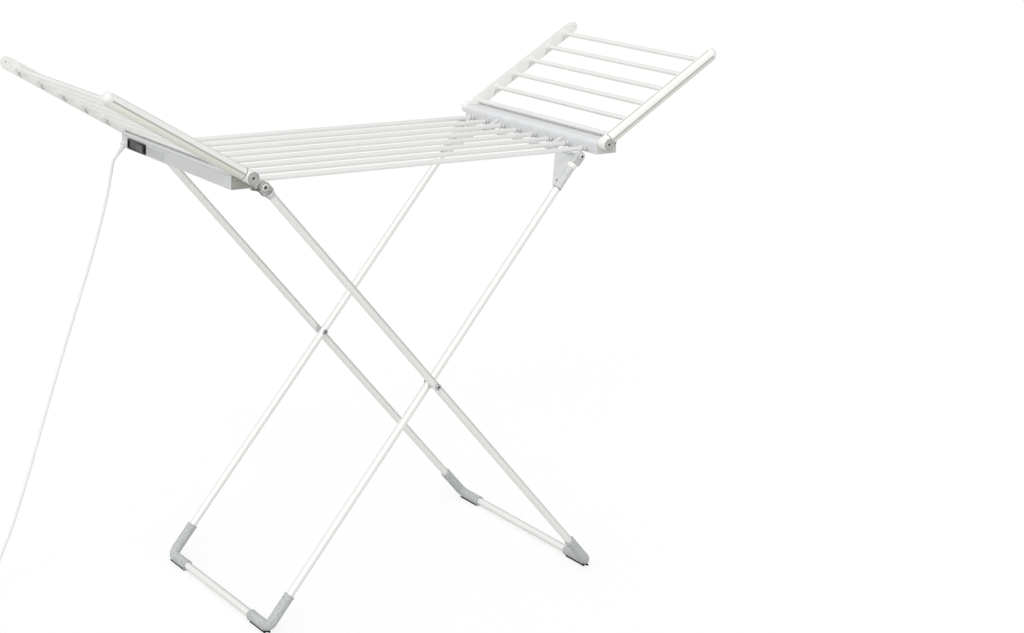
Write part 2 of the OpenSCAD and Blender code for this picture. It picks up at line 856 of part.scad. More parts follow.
// A closed tube of n sides through the points of a path; side is a direction that the path never runs along
module tube(path, r, n, side) {
    m = len(path);
    points = [for (i = [0:m - 1])
        let (
            t = unit(path[min(i + 1, m - 1)] - path[max(i - 1, 0)]),
            across = unit(cross(side, t)),
            up = cross(t, across)
        )
        for (q = ring(path[i], across, up, r, n)) q
    ];
    wall = [for (i = [0:m - 2]) for (k = [0:n - 1])
        let (a = i * n + k, b = i * n + (k + 1) % n)
        for (f = [[a, a + n, b + n], [a, b + n, b]]) f
    ];
    ends = [[for (k = [0:n - 1]) k], [for (k = [n - 1:-1:0]) (m - 1) * n + k]];
    polyhedron(points, concat(wall, ends), convexity = 10);
}

// A smooth curve through the route's points
function curve_point(a, b, c, d, t) =
    0.5 * (2 * b + (c - a) * t + (2 * a - 5 * b + 4 * c - d) * t * t + (3 * b - a - 3 * c + d) * t * t * t);

last_point = len(cord_route) - 1;
cord_path = concat(
    [for (i = [0:last_point - 1]) for (k = [0:cord_steps - 1]) curve_point(
        i == 0 ? 2 * cord_route[0] - cord_route[1] : cord_route[i - 1],
        cord_route[i],
        cord_route[i + 1],
        i == last_point - 1 ? 2 * cord_route[last_point] - cord_route[last_point - 1] : cord_route[i + 2],
        k / cord_steps
    )],
    [cord_route[last_point]]
);

module mains_cord() {
    color("#f2f2f0") tube(cord_path, cord_r, cord_sides, [0, 1, 0]);
}

// Radius and height of the coil's path after a number of turns
function coil_radius(t) =
    t < turns_in ? coil_r - coil_step * t
    : t < turns_in + turns_up ? inner_coil_r
    : inner_coil_r + coil_step * (t - turns_in - turns_up);

function coil_height(t) =
    t < turns_in ? floor_z
    : t < turns_in + turns_up ? floor_z + layer_rise * (1 - cos(180 * (t - turns_in) / turns_up)) / 2
    : floor_z + layer_rise;

all_turns = turns_in + turns_up + turns_out;
loop_path = [for (k = [0:all_turns * coil_rings])
    let (t = k / coil_rings, r = coil_radius(t))
    [coil_x - r * sin(360 * t), coil_y + r * cos(360 * t), coil_height(t)]
];
coil_path = concat(
    [[coil_x + cord_d, exit_y, floor_z]],
    loop_path,
    [for (x = [cord_d, coil_tail]) [coil_x - x, plug_y, plug_z]]
);

// The least gap between parts of the coil that are more than half a turn apart along it
coil_gap = min([for (i = [0:len(loop_path) - 1]) for (j = [i + coil_rings / 2:len(loop_path) - 1])
    norm(loop_path[i] - loop_path[j])]) - cord_d;
echo(coil_gap = coil_gap);

module cord_coil() {
    color("#f2f2f0") tube(coil_path, cord_r, coil_sides, [0, 0, 1]);
}

// A moulded plug on its back, with its pins up
module plug_body() {
    back = plug_x - plug_nose;
    color("#f2f2f0") {
        translate([plug_x, plug_y, plug_z]) rotate([0, -90, 0])
            cylinder(r1 = cord_r + 1, r2 = cord_r + 4, h = plug_nose);
        translate([back - plug_size[0], plug_y - plug_size[1] / 2, 0])
            linear_extrude(plug_size[2]) round_rect([0, 0], [plug_size[0], plug_size[1]], 8);
    }
}

module plug_pins() {
    middle = plug_x - plug_nose - plug_size[0] / 2;
    color("#c8a860") {
        for (s = sides) translate([middle + 11.1, plug_y + s * 11.1, plug_size[2] + 8.85])
            cube([4, 6.4, 17.7], center = true);
        translate([middle - 11.1, plug_y, plug_size[2] + 11.35]) cube([8, 4, 22.7], center = true);
    }
}

power_housing();
housing_cover();
end_cap();
end_cap_cover();
for (i = [1:rack_rails]) rack_rail(i);
rack_ferrules();
rack_heaters();
hinge_lugs();
lug_studs();
clip_hooks();
wing_hinge_pins();
wing_stops();
switch_frame();
switch_rocker();
rating_plate();
strain_relief();
terminal_block();
bus_wires();
outer_leg(-1);  // outer_leg_near
outer_leg(1);  // outer_leg_far
outer_floor_bar();
outer_elbow(-1);  // outer_elbow_near
outer_elbow(1);  // outer_elbow_far
outer_foot_strips();
outer_head(-1);  // outer_head_near
outer_head(1);  // outer_head_far
outer_cross_rod();
cross_rivets();
cross_spacers();
inner_leg(-1);  // inner_leg_near
inner_leg(1);  // inner_leg_far
inner_floor_bar();
inner_elbow(-1);  // inner_elbow_near
inner_elbow(1);  // inner_elbow_far
inner_foot_strips();
inner_head(-1);  // inner_head_near
inner_head(1);  // inner_head_far
inner_gussets();
inner_cross_rod();
left_wing_plate_near();
left_wing_plate_far();
left_wing_rails();
left_wing_heaters();
left_wing_knobs();
right_wing_plate_near();
right_wing_plate_far();
right_wing_rails();
right_wing_heaters();
right_wing_knobs();
mains_cord();
cord_coil();
plug_body();
plug_pins();
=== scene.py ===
from math import atan2, cos, hypot, pi, radians, sin

import bpy
from mathutils import Matrix, Vector


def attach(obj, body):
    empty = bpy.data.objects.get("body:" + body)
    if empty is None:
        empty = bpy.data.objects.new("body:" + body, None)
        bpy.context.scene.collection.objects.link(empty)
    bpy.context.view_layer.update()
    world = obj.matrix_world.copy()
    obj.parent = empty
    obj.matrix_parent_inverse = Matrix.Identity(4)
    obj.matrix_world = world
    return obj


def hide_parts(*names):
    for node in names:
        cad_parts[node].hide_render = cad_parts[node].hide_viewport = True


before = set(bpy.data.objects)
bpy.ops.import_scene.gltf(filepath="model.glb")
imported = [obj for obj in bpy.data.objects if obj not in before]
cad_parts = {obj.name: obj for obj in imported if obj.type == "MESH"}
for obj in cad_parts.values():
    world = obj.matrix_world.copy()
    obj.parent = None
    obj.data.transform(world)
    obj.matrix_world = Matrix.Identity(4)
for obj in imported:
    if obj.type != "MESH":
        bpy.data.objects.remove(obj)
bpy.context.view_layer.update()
scene = bpy.context.scene
scene.view_settings.view_transform = "Standard"

# ---- Camera ----------------------------------------------------------------------------------------------------------
# A long lens at eye height looks down on the airer from the near left, as in the photograph. The lens axis is off the
# middle of the frame, to the left and near its top.

PHOTO = (1024, 633)
lens_px, axis_px = 2000.3, (362.43, 71.19)
eye = Vector((-2.1284, -3.4251, 1.6475))
yaw, pitch, roll = radians(-31.559), radians(8.376), radians(1.361)
ahead = Vector((-sin(yaw) * cos(pitch), cos(yaw) * cos(pitch), -sin(pitch)))
level = Vector((cos(yaw), sin(yaw), 0))
above = level.cross(ahead)
right = level * cos(roll) + above * sin(roll)
up = above * cos(roll) - level * sin(roll)
camera = bpy.data.objects.new("camera", bpy.data.cameras.new("camera"))
scene.collection.objects.link(camera)
camera.matrix_world = Matrix((
    (right.x, up.x, -ahead.x, eye.x),
    (right.y, up.y, -ahead.y, eye.y),
    (right.z, up.z, -ahead.z, eye.z),
    (0, 0, 0, 1),
))
sensor = 36
camera.data.sensor_width = sensor
camera.data.lens = lens_px / PHOTO[0] * sensor
camera.data.shift_x = (PHOTO[0] / 2 - axis_px[0]) / PHOTO[0]
camera.data.shift_y = (axis_px[1] - PHOTO[1] / 2) / PHOTO[0]
scene.camera = camera

# ---- Mains cord, strain relief and plug ------------------------------------------------------------------------------
# White PVC lead, 6 mm thick and extruded: even, soft and a little glossy. It leaves the power housing through a moulded
# strain relief, hangs to the floor and is wound into a two-layer coil, with the plug beside it.


def linear(code):
    """A colour written as sRGB hex, as linear red, green, blue and alpha"""
    parts = [int(code[i:i + 2], 16) / 255 for i in (1, 3, 5)]
    return [c / 12.92 if c <= 0.04045 else ((c + 0.055) / 1.055) ** 2.4 for c in parts] + [1]


def add(material, kind, settings=(), **inputs):
    """One node with its settings; an input is a value, or a node's output that it is linked to"""
    node = material.node_tree.nodes.new("ShaderNode" + kind)
    for name, value in dict(settings).items():
        setattr(node, name, value)
    for name, value in inputs.items():
        socket = node.inputs[int(name[1:])] if name[1:].isdigit() else node.inputs[name.replace("_", " ")]
        if isinstance(value, bpy.types.NodeSocket):
            material.node_tree.links.new(value, socket)
        else:
            socket.default_value = value
    return node


def bare(name, roughness, metallic=0.0):
    """A new material and its shader, with the values that are the same all over"""
    material = bpy.data.materials.new(name)
    material.use_nodes = True
    shader = material.node_tree.nodes["Principled BSDF"]
    shader.inputs["Roughness"].default_value = roughness
    shader.inputs["Metallic"].default_value = metallic
    return material, shader


def moulded(name, light, dark, roughness, grain, depth=0.15, flow=30):
    """Injection-moulded plastic: two near tones drift where the melt flowed, over spark-eroded grain. Sizes in mm."""
    material, shader = bare(name, roughness)
    place = add(material, "TexCoord").outputs["Object"]
    melt = add(material, "TexNoise", Vector=place, Scale=1000 / flow, Detail=2).outputs["Fac"]
    tone = add(material, "Mix", {"data_type": "RGBA"}, i0=melt, i6=linear(light), i7=linear(dark))
    speck = add(material, "TexNoise", Vector=place, Scale=1000 / grain, Detail=3).outputs["Fac"]
    bump = add(material, "Bump", Strength=depth, Distance=0.0002, Height=speck)
    rough = add(material, "MapRange", Value=speck, i3=roughness - 0.05, i4=roughness + 0.08)
    link = material.node_tree.links.new
    link(tone.outputs[2], shader.inputs["Base Color"])
    link(rough.outputs[0], shader.inputs["Roughness"])
    link(bump.outputs[0], shader.inputs["Normal"])
    return material


def metal(name, light, dark, roughness, per_metre):
    """Bare metal in two near tones, in grains of a millimetre or so: that many to the metre"""
    material, shader = bare(name, roughness, 1.0)
    place = add(material, "TexCoord").outputs["Object"]
    grain = add(material, "TexNoise", Vector=place, Scale=per_metre, Detail=2).outputs["Fac"]
    tone = add(material, "Mix", {"data_type": "RGBA"}, i0=grain, i6=linear(light), i7=linear(dark))
    material.node_tree.links.new(tone.outputs[2], shader.inputs["Base Color"])
    return material


def finish(material, *nodes):
    """Gives carried-over solids a material"""
    for name in nodes:
        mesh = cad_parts[name].data
        mesh.materials.clear()
        mesh.materials.append(material)


crease = radians(35)


def make(name, shapes, materials, body, stands_for=()):
    """One object from shapes in mm: each is its points, its faces, its place and the number of its material"""
    points, faces, tones = [], [], []
    for own_points, own_faces, where, tone in shapes:
        start, inside_out = len(points), where.determinant() < 0
        points += [(where @ Vector(p)) / 1000 for p in own_points]
        for face in own_faces:
            face = [start + i for i in face]
            faces.append(face[::-1] if inside_out else face)
            tones.append(tone)
    mesh = bpy.data.meshes.new(name)
    mesh.from_pydata(points, [], faces)
    mesh.polygons.foreach_set("material_index", tones)
    for material in materials:
        mesh.materials.append(material)
    mesh.update()
    mesh.shade_smooth()
    mesh.set_sharp_from_angle(angle=crease)
    thing = bpy.data.objects.new(name, mesh)
    scene.collection.objects.link(thing)
    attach(thing, body)
    if stands_for:
        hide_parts(*stands_for)
    return thing


def turned(profile, sides=32):
    """Points and faces of a shape turned about Z from its (radius, height) profile, listed from the top down"""
    points, faces = [], []
    for radius, height in profile:
        points += [(radius * cos(2 * pi * k / sides), radius * sin(2 * pi * k / sides), height) for k in range(sides)]
    for i in range(len(profile) - 1):
        for k in range(sides):
            a, b = i * sides + k, i * sides + (k + 1) % sides
            faces.append((a, a + sides, b + sides, b))
    return points, faces


def pointing(place, direction):
    """The place of a turned shape whose top points in a direction"""
    return Matrix.Translation(place) @ Vector(direction).to_track_quat("Z", "Y").to_matrix().to_4x4()


hinge_x, hinge_z, rail_z = 412.5, 914.5, 900.0
face_out = 36.0
cord_d, tilt, relief_len = 6.0, radians(52), 26.0
exit_y = 223.0
down = Vector((-cos(tilt), 0, -sin(tilt)))
gland = Vector((-hinge_x - face_out, exit_y, rail_z))
tip = gland + relief_len * down
coil_x, coil_r, coil_step, floor_z, layer_rise = -867.0, 43.0, 7.6, 3.1, cord_d + 0.6
turns_in, turns_up, turns_out = 2, 0.5, 2.5
route = [tip, tip + cord_d * down, tip + 2 * cord_d * down] + [Vector((x, exit_y, z)) for x, z in (
    (-478, 845), (-485, 806), (-504, 731), (-524, 662), (-545, 597), (-586, 470), (-626, 340), (-666, 210),
    (-706, 100), (-741, 34), (-778, 6), (-818, 3.4), (coil_x + 30, floor_z), (coil_x + 18, floor_z),
    (coil_x + 6, floor_z),
)]
small_r = coil_r - turns_in * coil_step
large_r = small_r + turns_out * coil_step
for k in range(int((turns_in + turns_up + turns_out) * 20) + 1):
    t = k / 20
    if t < turns_in:
        r, z = coil_r - coil_step * t, floor_z
    elif t < turns_in + turns_up:
        r, z = small_r, floor_z + layer_rise * (1 - cos(pi * (t - turns_in) / turns_up)) / 2
    else:
        r, z = small_r + coil_step * (t - turns_in - turns_up), floor_z + layer_rise
    route.append(Vector((coil_x - r * sin(2 * pi * t), exit_y - coil_r + r * cos(2 * pi * t), z)))
plug_y, plug_z = exit_y - coil_r + large_r, floor_z + layer_rise
route += [Vector((coil_x - x, plug_y, plug_z)) for x in (10, 35, 60)]

cord_line = bpy.data.curves.new("mains_lead", "CURVE")
cord_line.dimensions = "3D"
cord_line.bevel_depth = cord_d / 2000
cord_line.bevel_resolution = 5
cord_line.resolution_u = 6
cord_line.use_fill_caps = True
spline = cord_line.splines.new("BEZIER")
spline.bezier_points.add(len(route) - 1)
for knot, point in zip(spline.bezier_points, route):
    knot.co = point / 1000
    knot.handle_left_type = knot.handle_right_type = "AUTO"
pvc = moulded("extruded PVC, white", "#f4f4f2", "#efefec", 0.42, 2.5, 0.06)
cord_line.materials.append(pvc)
lead = bpy.data.objects.new("mains_lead", cord_line)
scene.collection.objects.link(lead)
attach(lead, "rack")
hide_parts("mains_cord", "cord_coil")

relief_profile = [(3.1, 26.6), (3.7, 26.3), (3.8, 25.4)]
for i in range(5):
    h, r = 24.4 - 4.4 * i, 3.8 + 0.34 * i
    relief_profile += [(r - 0.5, h), (r - 0.5, h - 1.2), (r, h - 1.5), (r + 0.25, h - 3.6)]
relief_profile += [(5.6, 2.0), (5.6, -4.0)]
boss_profile = [(0.1, 7.2), (5.6, 7.2), (6.6, 6.6), (7.0, 5.4), (7.0, 1.6), (8.0, 1.0), (8.2, 0.0)]
make("strain_relief_sleeve", [
    (*turned(relief_profile), pointing(gland, down), 0),
    (*turned(boss_profile), pointing(gland, (-1, 0, 0)), 0),
], [pvc], "rack", ["strain_relief"])

plug_x, plug_nose = coil_x - 60, 24.0
outline = []
for cx, cy, start in ((-8, 17, 0), (-38, 15, 90), (-38, -15, 180), (-8, -17, 270)):
    outline += [(cx + 8 * cos(radians(start + a)), cy + 8 * sin(radians(start + a))) for a in range(0, 91, 15)]
levels = [(0.0, 2.0), (1.2, 0.6), (3.0, 0.0), (11.0, 0.0), (11.3, 0.5), (11.8, 0.5), (12.1, 0.0), (19.0, 0.2),
          (21.0, 1.0), (22.0, 2.6)]
plug_points = [(x * (1 - inset / 23) - inset, y * (1 - inset / 25), z) for z, inset in levels for x, y in outline]
n = len(outline)
plug_faces = [tuple(range(n))[::-1], tuple(range((len(levels) - 1) * n, len(levels) * n))] + [
    (i * n + k, i * n + (k + 1) % n, (i + 1) * n + (k + 1) % n, (i + 1) * n + k)
    for i in range(len(levels) - 1) for k in range(n)
]
plug_sleeve = [(3.1, 24.0), (4.0, 23.7)]
for i in range(4):
    h, r = 22.0 - 5 * i, 4.3 + 0.75 * i
    plug_sleeve += [(r - 0.8, h), (r - 0.8, h - 1.4), (r, h - 1.8), (r + 0.3, h - 4.2)]
plug_sleeve += [(7.0, 1.0), (7.0, -2.0)]
plug = make("plug_moulding", [
    (plug_points, plug_faces, Matrix.Translation((plug_x - plug_nose, plug_y, 0)), 0),
    (*turned(plug_sleeve), pointing((plug_x - plug_nose, plug_y, plug_z), (1, 0, 0)), 0),
], [moulded("moulded PVC, white", "#f0f0ee", "#eaeae7", 0.4, 1.6, 0.1)], "rack", ["plug_body"])
finish(metal("stamped brass, nickel-free", "#d0b470", "#c2a25c", 0.28, 900), "plug_pins")

# ---- Rack rails and their collars ------------------------------------------------------------------------------------
# Eight aluminium tubes, drawn and satin anodised: a silver-white surface with fine lines along the tube and a bright
# streak where the light lies on it. The heating wire inside is bedded in silicone. Each end has a moulded collar.


def drawn(name, along, light="#f6f6f4", dark="#ebebe8"):
    """Drawn, satin anodised aluminium with die lines along a direction; real lines are finer than the 2 mm here"""
    material, shader = bare(name, 0.36, 0.6)
    across = Vector(along).to_track_quat("X", "Z").inverted().to_euler()
    place = add(material, "TexCoord").outputs["Object"]
    turn = add(material, "VectorRotate", {"rotation_type": "EULER_XYZ"}, Vector=place, Rotation=across).outputs[0]
    lines = add(material, "VectorMath", {"operation": "MULTIPLY"}, i0=turn, i1=(6, 500, 500)).outputs[0]
    streak = add(material, "TexNoise", Vector=lines, Scale=1.0, Detail=3).outputs["Fac"]
    tone = add(material, "Mix", {"data_type": "RGBA"}, i0=streak, i6=linear(light), i7=linear(dark))
    rough = add(material, "MapRange", Value=streak, i3=0.28, i4=0.46)
    bump = add(material, "Bump", Strength=0.12, Distance=0.0002, Height=streak)
    link = material.node_tree.links.new
    link(tone.outputs[2], shader.inputs["Base Color"])
    link(rough.outputs[0], shader.inputs["Roughness"])
    link(bump.outputs[0], shader.inputs["Normal"])
    return material


rail_pitch, face_in = 58.0, 15.5
rail_ys = [(4.5 - i) * rail_pitch for i in range(1, 9)]
finish(drawn("drawn aluminium, rack rails", (1, 0, 0)), *[f"rack_rail_{i}" for i in range(1, 9)])
silicone = moulded("silicone rubber, heating wire", "#a8653a", "#965530", 0.6, 1.5, 0.3)
finish(silicone, "rack_heaters", "left_wing_heaters", "right_wing_heaters", "bus_wires")
abs_pale = moulded("moulded ABS, pale grey", "#dfe0e1", "#d9dadc", 0.42, 1.4, 0.12)
joint_line = moulded("shadow line in a joint", "#5d5f60", "#525455", 0.7, 1.0)
collar = [(5.1, 14.0), (5.9, 13.9), (6.6, 13.4), (6.7, 12.6), (6.6, 11.6), (6.1, 11.2)]
waist = [(6.1, 11.2), (5.7, 11.0), (5.7, 10.2), (6.1, 10.0)]
shank = [(6.1, 10.0), (6.1, 3.6)]
lower_waist = [(6.1, 3.6), (5.7, 3.4), (5.7, 2.8), (6.1, 2.6)]
root = [(6.1, 2.6), (6.9, 2.2), (7.2, 1.2), (7.2, 0.0)]
shapes = []
for y in rail_ys:
    for end in (-1, 1):
        where = pointing((end * (hinge_x - face_in - 1.0), y, rail_z), (-end, 0, 0))
        shapes += [(*turned(part), where, tone) for part, tone in
                   ((collar, 0), (waist, 1), (shank, 0), (lower_waist, 1), (root, 0))]
make("rail_collars", shapes, [abs_pale, joint_line], "rack", ["rack_ferrules"])

# ---- Power housing and end cap ---------------------------------------------------------------------------------------
# Two long ABS mouldings, a tray with a cover on it, that hold the rails' ends. Pale, slightly blue and satin; the cover
# rolls over the inner edge and swells round each rail. The end faces are painted greyer for the shade on them, those of
# the power housing most of all.

half_len, tray_z, cover_z, top_z = 238.0, 891.5, 918.5, 921.5


def swell(y):
    """1 above a rail and 0 between rails, steeper on one side"""
    a = 2 * pi * (y / rail_pitch - 0.5)
    return max(0.0, min(1.0, 0.5 + 0.43 * cos(a) + 0.14 * sin(2 * a))) if abs(y) < half_len - 6 else 0.0


def end_moulding():
    """The closed shape of a tray with its cover, along Y, with +X outwards from the hinge axis"""
    section = [(-face_in + 1.4, tray_z, 0), (face_out - 2.2, tray_z, 0), (face_out - 0.6, tray_z + 0.6, 0),
               (face_out, tray_z + 2.2, 0), (face_out, cover_z - 1.2, 0), (face_out - 0.7, cover_z - 0.9, 0),
               (face_out - 0.7, cover_z - 0.3, 0), (face_out, cover_z, 0), (face_out, cover_z + 1.2, 0),
               (face_out - 0.7, top_z - 0.5, 0), (face_out - 2.0, top_z, 0), (24, top_z + 0.1, 0), (12, top_z, 0.05),
               (2, top_z - 0.1, 0.2)]
    for a in range(0, 91, 10):
        turn = radians(a)
        section.append((-face_in + 10 - 10 * sin(turn), top_z - 10.2 + 10 * cos(turn), 0.35 + 0.65 * sin(turn)))
    section += [(-face_in, rail_z + 7.5, 1.0), (-face_in, rail_z + 5, 0.85), (-face_in, rail_z, 0.5),
                (-face_in, rail_z - 5, 0.25), (-face_in, tray_z + 1.4, 0)]
    ys = [-half_len, -half_len + 0.4, -half_len + 1.2] + [-234.0 + 4.0 * k for k in range(118)]
    ys += [half_len - 1.2, half_len - 0.4, half_len]
    middle_x, middle_z = 10.0, 906.0
    points, faces = [], []
    for y in ys:
        inset = {0: 1.2, 1: 0.4}.get(round((half_len - abs(y)) * 2.5), 0.0)
        for x, z, share in section:
            reach = hypot(x - middle_x, z - middle_z)
            k = 1 - inset / reach
            out = share * (2.6 * swell(y) - 0.2) if inset == 0 else 0
            points.append((middle_x + (x - middle_x) * k - out, y, middle_z + (z - middle_z) * k))
    n = len(section)
    for i in range(len(ys) - 1):
        faces += [(i * n + k, (i + 1) * n + k, (i + 1) * n + (k + 1) % n, i * n + (k + 1) % n) for k in range(n)]
    ends = [tuple(range(n)), tuple(range((len(ys) - 1) * n, len(ys) * n))[::-1]]
    return points, faces, ends


# The ends' darker tones are painted shade: darkest on the power housing, under the wing plates, lighter on the cap
end_shade_grey = moulded("moulded ABS, ends in painted shade", "#a6a8a1", "#9a9c95", 0.55, 1.4, 0.15)
end_shade_pale = moulded("moulded ABS, cap ends in painted shade", "#d3d4d1", "#c9cac7", 0.55, 1.4, 0.15)
points, faces, ends = end_moulding()
mirrored = Matrix.Translation((-hinge_x, 0, 0)) @ Matrix.Diagonal((-1, 1, 1, 1))
placed = Matrix.Translation((hinge_x, 0, 0))
housing = make("power_housing_moulding", [(points, faces + ends, mirrored, 0)], [abs_pale, end_shade_grey], "rack",
               ["power_housing", "housing_cover"])
cap = make("end_cap_moulding", [(points, faces + ends, placed, 0)], [abs_pale, end_shade_pale], "rack",
           ["end_cap", "end_cap_cover"])
# The switch's box needs its opening in the housing's outer face
switch_y, switch_z = 165.0, 904.4
opening_y, opening_z, opening_deep = 40.55, 9.3, 12.2
box_low = Vector((-hinge_x - face_out - 2, switch_y - opening_y, switch_z - opening_z)) / 1000
box_high = Vector((-hinge_x - face_out + opening_deep, switch_y + opening_y, switch_z + opening_z)) / 1000
corners = [(x, y, z)
           for z in (box_low.z, box_high.z) for y in (box_low.y, box_high.y) for x in (box_low.x, box_high.x)]
cutter_mesh = bpy.data.meshes.new("switch_opening")
cutter_mesh.from_pydata(corners, [], [(0, 2, 3, 1), (4, 5, 7, 6), (0, 1, 5, 4), (2, 6, 7, 3), (0, 4, 6, 2),
                                      (1, 3, 7, 5)])
cutter = bpy.data.objects.new("switch_opening", cutter_mesh)
scene.collection.objects.link(cutter)
cut = housing.modifiers.new("switch opening", "BOOLEAN")
cut.object, cut.operation, cut.solver = cutter, "DIFFERENCE", "EXACT"
whole = bpy.data.meshes.new_from_object(housing.evaluated_get(bpy.context.evaluated_depsgraph_get()))
housing.modifiers.clear()
housing.data = whole
bpy.data.objects.remove(cutter)
# Faces that look along Y, the ends, take the second material, which paints shade on them
for mesh in (housing.data, cap.data):
    for face in mesh.polygons:
        face.material_index = 1 if abs(face.normal.y) > 0.95 else 0
    mesh.shade_smooth()
    mesh.set_sharp_from_angle(angle=crease)
finish(abs_pale, "hinge_lugs", "clip_hooks")
# The wing stops take the ends' painted shade, so that they sink into it
finish(end_shade_grey, "wing_stops")
finish(moulded("moulded nylon, cream", "#e9e6dc", "#e2dfd3", 0.5, 1.2), "terminal_block")

# ---- Switch and rating plate -----------------------------------------------------------------------------------------
# A wide rocker switch of dark polycarbonate, polished in the mould, in a black frame. Beside it a bare aluminium plate
# is glued on: rolled sheet with fine brush lines along it.

rocker_black = moulded("polished polycarbonate, charcoal", "#363637", "#303031", 0.34, 3.0, 0.04)
frame_black = moulded("moulded polycarbonate, black", "#262627", "#1f1f20", 0.35, 1.2, 0.1)
finish(rocker_black, "switch_rocker")
finish(frame_black, "switch_frame")
finish(moulded("moulded ABS, grey pegs", "#7e807e", "#747674", 0.5, 1.2), "lug_studs")
finish(drawn("brushed aluminium sheet", (0, 1, 0), "#d4d6d6", "#c4c6c6"), "rating_plate")

# ---- Leg frames ------------------------------------------------------------------------------------------------------
# Two frames of drawn, anodised tube that cross at rivets. Grey polypropylene elbows, moulded with fine dark flecks,
# join legs and floor bars and stand on black rubber strips.

cross_x, cross_z = 20.0, 452.5
pivot_in, pivot_drop, clip_in, clip_drop = 36, 9.5, 40, 13.5
outer_top, inner_top = (-hinge_x + pivot_in, rail_z - pivot_drop), (hinge_x - clip_in, rail_z - clip_drop)
outer_half, inner_half, foot_z, sleeve_r, leg_r = 234.5, 210.0, 12.0, 10.5, 8.0


def leg_line(top):
    """A frame's angle, and its floor bar's place along X"""
    angle = atan2(top[1] - cross_z, top[0] - cross_x)
    return angle, cross_x - (cross_z - foot_z) * cos(angle) / sin(angle)


def standing(point, angle):
    """The place of what is drawn along +X at a point (x, z) of the XZ plane, turned up to an angle"""
    return Matrix.Translation((point[0], 0, point[1])) @ Matrix.Rotation(-angle, 4, "Y")


outer_angle, outer_foot = leg_line(outer_top)
inner_angle, inner_foot = leg_line(inner_top)
far_side, near_side = Matrix.Identity(4), Matrix.Diagonal((1, -1, 1, 1))
for who, angle in (("outer", outer_angle), ("inner", inner_angle)):
    finish(drawn(f"drawn aluminium, {who} legs", (cos(angle), 0, sin(angle))), f"{who}_leg_near", f"{who}_leg_far")
finish(drawn("drawn aluminium, floor bars", (0, 1, 0)), "outer_floor_bar", "inner_floor_bar")


def flecked(name, light, dark, fleck, share):
    """Grey polypropylene with small dark flecks, drawn 1.5 mm wide because finer ones don't show"""
    material = moulded(name, light, dark, 0.5, 1.2, 0.2)
    shader = material.node_tree.nodes["Principled BSDF"]
    ground = shader.inputs["Base Color"].links[0].from_socket
    place = add(material, "TexCoord").outputs["Object"]
    spots = add(material, "TexNoise", Vector=place, Scale=650, Detail=1).outputs["Fac"]
    where = add(material, "MapRange", Value=spots, i1=share, i2=share + 0.06, i3=1.0, i4=0.0).outputs[0]
    tone = add(material, "Mix", {"data_type": "RGBA"}, i0=where, i6=ground, i7=linear(fleck))
    material.node_tree.links.new(tone.outputs[2], shader.inputs["Base Color"])
    return material


def elbow(half):
    """A socket on the leg and one on the floor bar with a round bend between them, and a raised rim at each mouth"""
    leg_len, bar_len, bend = 74.0, 70.0, 15.0
    line = []
    for d, r in ((-3.0, 8.25), (0.0, 8.5), (0.0, 10.6), (-0.5, 11.1), (-3.0, 11.2), (-3.5, 10.6), (-20.0, sleeve_r)):
        line.append(((leg_len + d, half), (-1, 0), r))
    for a in range(0, 91, 9):
        t = radians(a)
        line.append(((bend - bend * sin(t), half - bend + bend * cos(t)), (-cos(t), -sin(t)), sleeve_r))
    for d, r in ((20.0, sleeve_r), (3.5, 10.6), (3.0, 11.2), (0.5, 11.1), (0.0, 10.6), (0.0, 8.5), (3.0, 8.25)):
        line.append(((0, half - bar_len + d), (0, -1), r))
    points, faces, n = [], [], 32
    for (x, y), (ux, uy), r in line:
        for k in range(n):
            a = 2 * pi * k / n
            points.append((x - uy * r * cos(a), y + ux * r * cos(a), r * sin(a)))
    for i in range(len(line) - 1):
        for k in range(n):
            a, b = i * n + k, i * n + (k + 1) % n
            faces.append((a, b, b + n, a + n))
    return points, faces


elbow_grey = flecked("moulded polypropylene, elbow grey", "#c9cccb", "#bdc1c1", "#989c9b", 0.4)
steel = metal("zinc-plated steel", "#bfc1c3", "#a9abad", 0.32, 700)
# Black steel for the dark screws on the webs, and painted shade for the floors of recesses and the crossed slots
black_steel_and_recess_shade = moulded("blackened steel and painted recess shade", "#202020", "#181818", 0.5, 1.0)


def screw(radius, height, recess=0.0):
    """A domed screw head as turned rings, open over a round recess in its middle"""
    dome = [(radius * s, height * (1 - 0.45 * s ** 3)) for s in (0.4, 0.6, 0.8, 0.93) if radius * s > recess]
    return turned([(recess, height - 0.1), *dome, (radius, height * 0.4), (radius, -0.2)], 24)


def hole(radius, height):
    """The floor of a screw's recess, a disc that is painted dark for the shade in it"""
    return turned([(0.01, height), (radius, height)], 24)


def cross_slot(radius, height):
    """The two crossed slots of a screw head, as a flat cross just above it, painted dark for the shade in the slots"""
    w = radius * 0.28
    ring = [(w, w), (radius, w), (radius, -w), (w, -w), (w, -radius), (-w, -radius), (-w, -w), (-radius, -w),
            (-radius, w), (-w, w), (-w, radius), (w, radius)]
    points = [(x, y, z) for z in (height, height - 0.6) for x, y in ring]
    return points, [tuple(range(12))[::-1]] + [(k, k + 12, (k + 1) % 12 + 12, (k + 1) % 12) for k in range(12)]


pin_up, pin_in = 64, 60
frames = (("outer", outer_half, outer_angle, outer_foot), ("inner", inner_half, inner_angle, inner_foot))
for who, half, angle, foot in frames:
    stand, studs = standing((foot, foot_z), angle), []
    normal = stand.to_3x3() @ Vector((0, 0, 1))
    for side, turn in (("far", far_side), ("near", near_side)):
        make(f"{who}_elbow_{side}_sleeves", [(*elbow(half), stand @ turn, 0)], [elbow_grey], f"{who}_frame",
             [f"{who}_elbow_{side}"])
        for x, y in ((pin_up, half), (0, half - pin_in)):
            spot = pointing(stand @ turn @ Vector((x, y, 0)) + normal * (sleeve_r - 0.1), normal)
            studs += [(*screw(1.9, 0.6, 0.9), spot, 0), (*hole(0.95, 0.45), spot, 1)]
    make(f"{who}_elbow_pins", studs, [steel, black_steel_and_recess_shade], f"{who}_frame")

